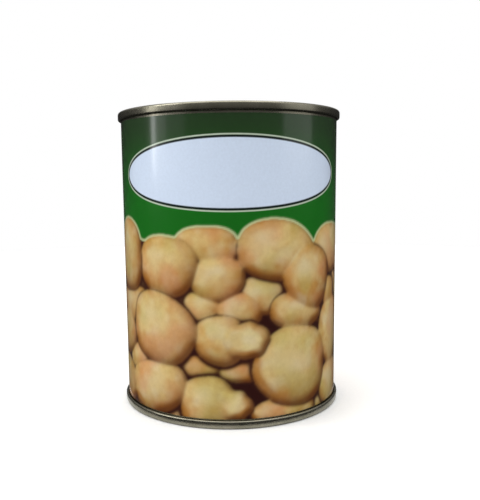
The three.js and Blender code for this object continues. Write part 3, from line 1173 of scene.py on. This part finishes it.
@dataclass
class PaperLabel:
    """The wrap-around label: one turn of paper that laps over its own start, with its two glue lines."""

    bottom: float = 3.4
    top: float = 109.2
    inner_radius: float = 41.97
    paper: float = 0.1
    lap_start: float = math.radians(99)
    lap: float = math.radians(9)
    lap_rise: float = 0.16
    slack: float = 0.012
    picture_top: float = 76.0
    columns: int = 576
    picture_rows: int = 150
    field_rows: int = 12
    print: LabelPrint = field(default_factory=LabelPrint)
    glue: DriedGlue = field(default_factory=DriedGlue)
    glue_thickness: float = 0.04
    glue_margin: float = 0.6
    glue_rows: int = 80
    glue_section: int = 12
    glue_squareness: int = 8
    pickup_width: float = 4.0
    pickup_depth: float = 0.05

    @property
    def outer_radius(self) -> float:
        """The radius of the printed face, away from the lap."""
        return self.inner_radius + self.paper

    def inner_face(self, angle: np.ndarray, height: np.ndarray) -> np.ndarray:
        """Gives the radius of the paper's inner face.

        It is the body's radius with clearance, plus a rise over the lap, plus a slack that swells
        by the product of a sine round the can and a sine up it.

        Args:
            angle: Angles from the front, running on past a full turn to the end of the lap.
            height: Heights up the can.

        Returns:
            The radii.
        """
        end = self.lap_start + FULL_TURN
        rise = self.lap_rise * smooth_step(end - self.lap, end, angle)
        swell = 1 + np.sin(5 * angle + 0.7) * np.sin(height / 17 + 1.1)
        return self.inner_radius + rise + self.slack * swell * smooth_step(end, end - 2 * self.lap, angle)

    def build(self) -> None:
        """Builds the label and its glue."""
        angle = np.linspace(self.lap_start, self.lap_start + FULL_TURN + self.lap, self.columns + 1)
        low = np.linspace(self.bottom, self.picture_top, self.picture_rows + 1)
        high = np.linspace(self.picture_top, self.top, self.field_rows + 1)[1:]
        height = np.concatenate([low, high])[:, None]
        ends = height[[0, -1]]
        outer = around(self.inner_face(angle, height) + self.paper, angle, height)
        inner = around(self.inner_face(angle, ends), angle, ends)
        points = np.concatenate([outer.reshape(-1, 3), inner.reshape(-1, 3)])
        label = build_mesh("label_paper", points, self.faces(len(height), len(angle)))

        period = math.pi * self.outer_radius
        across = np.broadcast_to(angle * self.outer_radius, outer.shape[:2])
        up = np.broadcast_to(height, outer.shape[:2])
        plan = np.stack([across, up, np.ones_like(up)], -1).reshape(-1, 3)
        inside = np.stack([across[:2], up[[0, -1]], np.zeros_like(up[:2])], -1).reshape(-1, 3)
        set_attribute(label, "plan", "FLOAT_VECTOR", np.concatenate([plan, inside]))
        picture = MushroomPicture(period)
        colours, cover = picture.paint()
        inks = np.ones((len(points), 4))
        inks[: plan.shape[0], :3] = picture.sample(colours, across, up).reshape(-1, 3)
        covers = np.zeros(len(points))
        covers[: plan.shape[0]] = (picture.sample(cover, across, up) * (up < self.picture_top)).ravel()
        set_attribute(label, "picture", "FLOAT_COLOR", inks)
        set_attribute(label, "picture_cover", "FLOAT", covers)
        fit_out(label, self.print.material(period), "printed_label", "paper_label")
        self.build_glue()

    def faces(self, rows: int, columns: int) -> list[np.ndarray]:
        """Joins the label's printed face, its back, its two long edges and its two short ends.

        The back has only its lowest and highest row, so each short end is a fan from the back's
        lowest point.

        Args:
            rows: Rows of the printed face.
            columns: Points in each row.

        Returns:
            The faces.
        """
        front = grid_faces(rows, columns, False, False)
        back = rows * columns + grid_faces(2, columns, False, False)[:, ::-1]
        here = np.arange(columns - 1)
        low, high = rows * columns, (rows + 1) * columns
        top_row = (rows - 1) * columns
        top_edge = np.stack([top_row + here, top_row + here + 1, high + here + 1, high + here], 1)
        bottom_edge = np.stack([low + here, low + here + 1, here + 1, here], 1)
        step = np.arange(rows - 1) * columns
        start = np.stack([np.full(rows - 1, low), step, step + columns], 1)
        start = np.concatenate([start, [[low, top_row, high]]])
        finish = start[:, ::-1] + np.array([columns - 1] * 3)
        return [front, back, top_edge, bottom_edge, start, finish]

    def build_glue(self) -> None:
        """Builds the paste under the lap and the pick-up strip under the label's start."""
        glue = self.glue.material()
        behind = self.inner_radius - self.pickup_depth
        lap = self.outer_radius + (self.lap_rise - self.paper) / 2
        lap_width = self.lap * lap - 2 * self.glue_margin
        strips = (("label_lap_glue", lap_width, lap), ("label_pickup_glue", self.pickup_width, behind))
        for node, width, radius in strips:
            strip = self.glue_strip(f"{node}_strip", width, radius)
            fit_out(strip, glue, "label_glue", node)

    def glue_strip(self, name: str, width: float, radius: float) -> bpy.types.Object:
        """Makes one strip: a flattened tube up the can whose width wavers with its height.

        Its section's half sizes follow the cosine and sine of an angle, and both ends close in a
        point.

        Args:
            name: The piece's name.
            width: The strip's greatest width.
            radius: The radius of its middle.

        Returns:
            The piece's object.
        """
        rows, section = self.glue_rows, self.glue_section
        height = np.linspace(self.bottom + self.glue_margin, self.top - self.glue_margin, rows)[:, None]
        turn = np.arange(section)[None] / section * FULL_TURN
        ends = dome(np.linspace(-1, 1, rows), self.glue_squareness)[:, None]
        half = width / 2 * ends * (0.93 + 0.07 * np.sin(height * 0.9) * np.sin(height * 0.37 + 1))
        angle = self.lap_start + self.lap / 2 + half * np.cos(turn) / radius
        points = around(radius + self.glue_thickness / 2 * ends * np.sin(turn), angle, height)
        closed = np.concatenate([points[1:-1].reshape(-1, 3), points[[0, -1], 0]])
        return build_mesh(name, closed, [faces[:, ::-1] for faces in capped_tube(rows - 2, section)])


# ---------------------------------------------------------------- the fill


@dataclass
class MushroomFill:
    """The whole mushrooms in the can: layers of one in the middle and a ring round it.

    Mushroom number n is tipped by a tilt and turned to a heading that both follow from n times the
    golden angle, and it fits inside a sphere of its own.
    """

    layers: int = 4
    ring_count: int = 6
    ring_radius: float = 27.5
    first_height: float = 17.2
    layer_pitch: float = 25.7
    golden_angle: float = math.radians(137.5)
    least_tilt: float = math.radians(15)
    tilt_span: float = math.radians(150)
    least_scale: float = 0.9
    cap_radius: float = 12.3
    cap_height: float = 10.6
    cap_widest: float = 1.0
    rim_drop: float = 0.6
    under_cap: tuple[Triple, ...] = ((11.6, -3.2, 1.3), (5.6, -2.1, 0.9), (4.2, -4.8, 2.0))
    stem_radius: float = 4.9
    stem_base: float = -11.2
    stem_bend: float = 0.5
    cut_dish: float = 0.2
    bend_steps: int = 4
    scale_step: float = 0.37
    base_scale: float = 0.98
    waver_radius: float = 6.0
    columns: int = 40
    cap_rows: int = 12
    finish: MushroomFlesh = field(default_factory=MushroomFlesh)

    def profile(self) -> np.ndarray:
        """Draws half the section: an elliptical cap, a rolled margin and a stem that is cut flat.

        Returns:
            Points of radius and height, from the crown to the middle of the stem's cut.
        """
        angle = np.linspace(math.pi / 2, 0, self.cap_rows)
        cap = np.stack([self.cap_radius * np.cos(angle), self.cap_height * np.sin(angle)], 1)
        cap += [0, self.cap_widest]
        cap[0, 0] = 0
        corners = [
            (self.cap_radius, self.cap_widest - self.rim_drop, 0.0),
            *self.under_cap,
            (self.stem_radius, self.stem_base, self.stem_bend),
            (0.0, self.stem_base + self.cut_dish, 0.0),
        ]
        return np.concatenate([cap, rounded_line(corners, self.bend_steps)])

    def build(self) -> None:
        """Builds and dresses every mushroom."""
        flesh = self.finish.material()
        base, faces = revolve(self.profile(), self.columns)
        angle = np.arctan2(base[:, 1], base[:, 0])
        off_axis = np.clip(np.hypot(base[:, 0], base[:, 1]) / self.waver_radius, 0, 1)
        for number in range(self.layers * (self.ring_count + 1)):
            swell = self.base_scale + waves(angle, WHOLE_WAVES, number) * off_axis
            swollen = base * swell[:, None]
            points = swollen @ np.array(self.turn(number)).T + self.place(number)
            name = f"mushroom_{number + 1:02d}"
            fit_out(build_mesh(f"{name}_flesh", points, faces), flesh, "mushroom_flesh", name)

    def turn(self, number: int) -> Matrix:
        """Gives a mushroom's rotation: tipped about X, then turned about Z.

        Args:
            number: The mushroom's number.

        Returns:
            The rotation, with the mushroom's scale in it.
        """
        tilt = self.least_tilt + self.tilt_span * (number * self.golden_angle % 1)
        scale = 1 - (1 - self.least_scale) * (number * self.scale_step % 1)
        return Matrix.Rotation(number * self.golden_angle, 3, "Z") @ Matrix.Rotation(tilt, 3, "X") * scale

    def place(self, number: int) -> np.ndarray:
        """Gives the middle of a mushroom's sphere.

        Args:
            number: The mushroom's number.

        Returns:
            The point in millimetres.
        """
        layer, spot = divmod(number, self.ring_count + 1)
        angle = (spot + layer / 2) / self.ring_count * FULL_TURN
        radius = 0 if spot == self.ring_count else self.ring_radius
        height = self.first_height + layer * self.layer_pitch
        return np.array([radius * math.cos(angle), radius * math.sin(angle), height])


# ---------------------------------------------------------------- the studio


@dataclass(frozen=True)
class Softbox:
    """One soft lamp: where it hangs, how large it is, and whether gloss mirrors it. Metres and watts."""

    name: str
    place: Triple
    size: Span
    power: float
    mirrored: bool = True
    target: Triple = (0.0, 0.0, 0.055)
    colour: str = "#ffffff"


@dataclass
class Studio:
    """A pale floor and background, soft lamps, and the camera a hand's length from the can."""

    lamps: tuple[Softbox, ...] = (
        Softbox("top_softbox", (0.0, 0.0, 1.1), (1.2, 1.0), 8.6),
        Softbox("left_fill", (-0.7, -0.75, 0.4), (0.6, 0.5), 0.6, mirrored=False),
        Softbox("left_crest_panel", (-0.72, -0.25, 0.62), (0.5, 0.25), 1.5),
        Softbox("right_fill", (0.7, -0.75, 0.4), (0.6, 0.5), 0.9, mirrored=False),
        Softbox("back_fill", (0.0, 0.9, 0.6), (0.9, 0.6), 3.5, mirrored=False),
        Softbox("left_strip", (-0.575, -0.10, 0.555), (0.06, 0.9), 0.84, target=(0.0, 0.0, 0.555)),
        Softbox("left_panel", (-0.555, -0.20, 0.555), (0.13, 0.9), 0.33, target=(0.0, 0.0, 0.555)),
        Softbox("left_far_panel", (-0.47, -0.35, 0.33), (0.20, 0.45), 0.08, target=(0.0, 0.0, 0.33)),
        Softbox("right_panel", (0.56, -0.17, 0.33), (0.38, 0.45), 0.37, target=(0.0, 0.0, 0.33)),
    )
    camera_distance: float = 0.2594
    camera_height: float = 0.08577
    camera_pitch: float = math.radians(7.81)
    camera_yaw: float = math.radians(-0.2)
    camera_roll: float = math.radians(-0.62)
    lens: float = 46.22
    near_clip: float = 0.01
    lens_shift: Span = (0.024, 0.044)
    floor_size: float = 1.3
    floor_middle: float = 46.8
    floor_columns: int = 96
    floor_grain: float = 10 / 9
    floor_colour: str = "#f6f6f4"
    background: str = "#ffffff"
    room_below: float = 0.04
    room_front: float = 0.2
    room_back: float = 0.03
    room_above: float = 0.5
    wall_span: Span = (-0.2, 0.9)
    horizon_span: Span = (-0.06, 0.08)
    upper_span: Span = (0.12, 0.7)

    def build(self) -> None:
        """Sets up the floor, the surroundings, the lamps and the camera."""
        bpy.context.scene.view_settings.view_transform = "Standard"
        self.build_floor()
        self.build_surroundings()
        for lamp in self.lamps:
            self.hang(lamp)
        self.aim_camera()

    def build_floor(self) -> None:
        """Lays the floor: a round middle that the bottom seam mirrors, and a wide ring round it.

        Gloss doesn't mirror the ring, so that it lights the can without veiling the label.
        """
        surface = Surface.named("matt_studio_board", Roughness=0.9)
        grain = noise(surface.tree, object_place(surface.tree), self.floor_grain, detail=2.0)
        surface.feed(blend(surface.tree, grain, self.floor_colour, self.background), "Base Color")
        here = np.arange(self.floor_columns)
        turn = here / self.floor_columns * FULL_TURN
        radii = np.array([[self.floor_middle], [self.floor_size / 2 / MM]])
        rims = around(radii, turn[None], np.zeros((2, 1)))
        middle = build_mesh("studio_floor_middle", rims[0], [here[None]])
        ring_faces = grid_faces(2, self.floor_columns, False, True)[:, ::-1]
        ring = build_mesh("studio_floor", rims.reshape(-1, 3), [ring_faces])
        ring.visible_glossy = False
        for board in (middle, ring):
            board.data.materials.append(surface.material)

    def build_surroundings(self) -> None:
        """Makes the room: white to the camera, and in mirrors dim, darker behind and paler above."""
        world = bpy.data.worlds.new("studio_room")
        bpy.context.scene.world = world
        world.use_nodes = True
        tree = world.node_tree
        tree.nodes.clear()
        direction = add_node(tree, "ShaderNodeTexCoord").outputs["Generated"]
        axes = add_node(tree, "ShaderNodeSeparateXYZ", {"Vector": direction}).outputs
        walls = ramp(tree, axes["Y"], self.wall_span, (self.room_front, self.room_back), smooth=True)
        level = ramp(tree, axes["Z"], self.horizon_span, (self.room_below, walls), smooth=True)
        above = ramp(tree, axes["Z"], self.upper_span, (0.0, self.room_above), smooth=True)
        seen = add_node(tree, "ShaderNodeLightPath").outputs["Is Camera Ray"]
        shaders = {0: seen}
        for key, strength in ((1, calculate(tree, "ADD", level, above)), (2, 1.0)):
            values = {"Color": rgba(self.background), "Strength": strength}
            shaders[key] = add_node(tree, "ShaderNodeBackground", values).outputs["Background"]
        both = add_node(tree, "ShaderNodeMixShader", shaders).outputs["Shader"]
        add_node(tree, "ShaderNodeOutputWorld", {"Surface": both})

    def hang(self, lamp: Softbox) -> None:
        """Hangs one soft lamp, facing its target.

        Args:
            lamp: The lamp.
        """
        data = bpy.data.lights.new(lamp.name, "AREA")
        data.shape = "RECTANGLE"
        data.size, data.size_y = lamp.size
        data.energy = lamp.power
        data.color = tuple(linear(lamp.colour))
        light = bpy.data.objects.new(lamp.name, data)
        bpy.context.scene.collection.objects.link(light)
        light.location = lamp.place
        aim = Vector(lamp.target) - Vector(lamp.place)
        light.rotation_euler = aim.to_track_quat("-Z", "Y").to_euler()
        light.visible_camera = False
        light.visible_glossy = lamp.mirrored

    def aim_camera(self) -> None:
        """Places the camera in front of the can, a little above its middle and looking slightly down."""
        data = bpy.data.cameras.new("studio_camera")
        data.lens = self.lens
        data.shift_x, data.shift_y = self.lens_shift
        data.clip_start = self.near_clip
        camera = bpy.data.objects.new("studio_camera", data)
        bpy.context.scene.collection.objects.link(camera)
        heading = Matrix.Rotation(-self.camera_yaw, 4, "Z")
        tilt = Matrix.Rotation(math.pi / 2 - self.camera_pitch, 4, "X")
        turn = heading @ tilt @ Matrix.Rotation(self.camera_roll, 4, "Z")
        camera.matrix_world = Matrix.Translation((0, -self.camera_distance, self.camera_height)) @ turn
        bpy.context.scene.camera = camera


def main() -> None:
    """Builds the can piece by piece, then the studio round it."""
    logging.basicConfig(level=logging.INFO, format="%(name)s: %(message)s")
    CanTin().build()
    SealingRings().build()
    PaperLabel().build()
    MushroomFill().build()
    Studio().build()


if __name__ == "__main__":
    main()
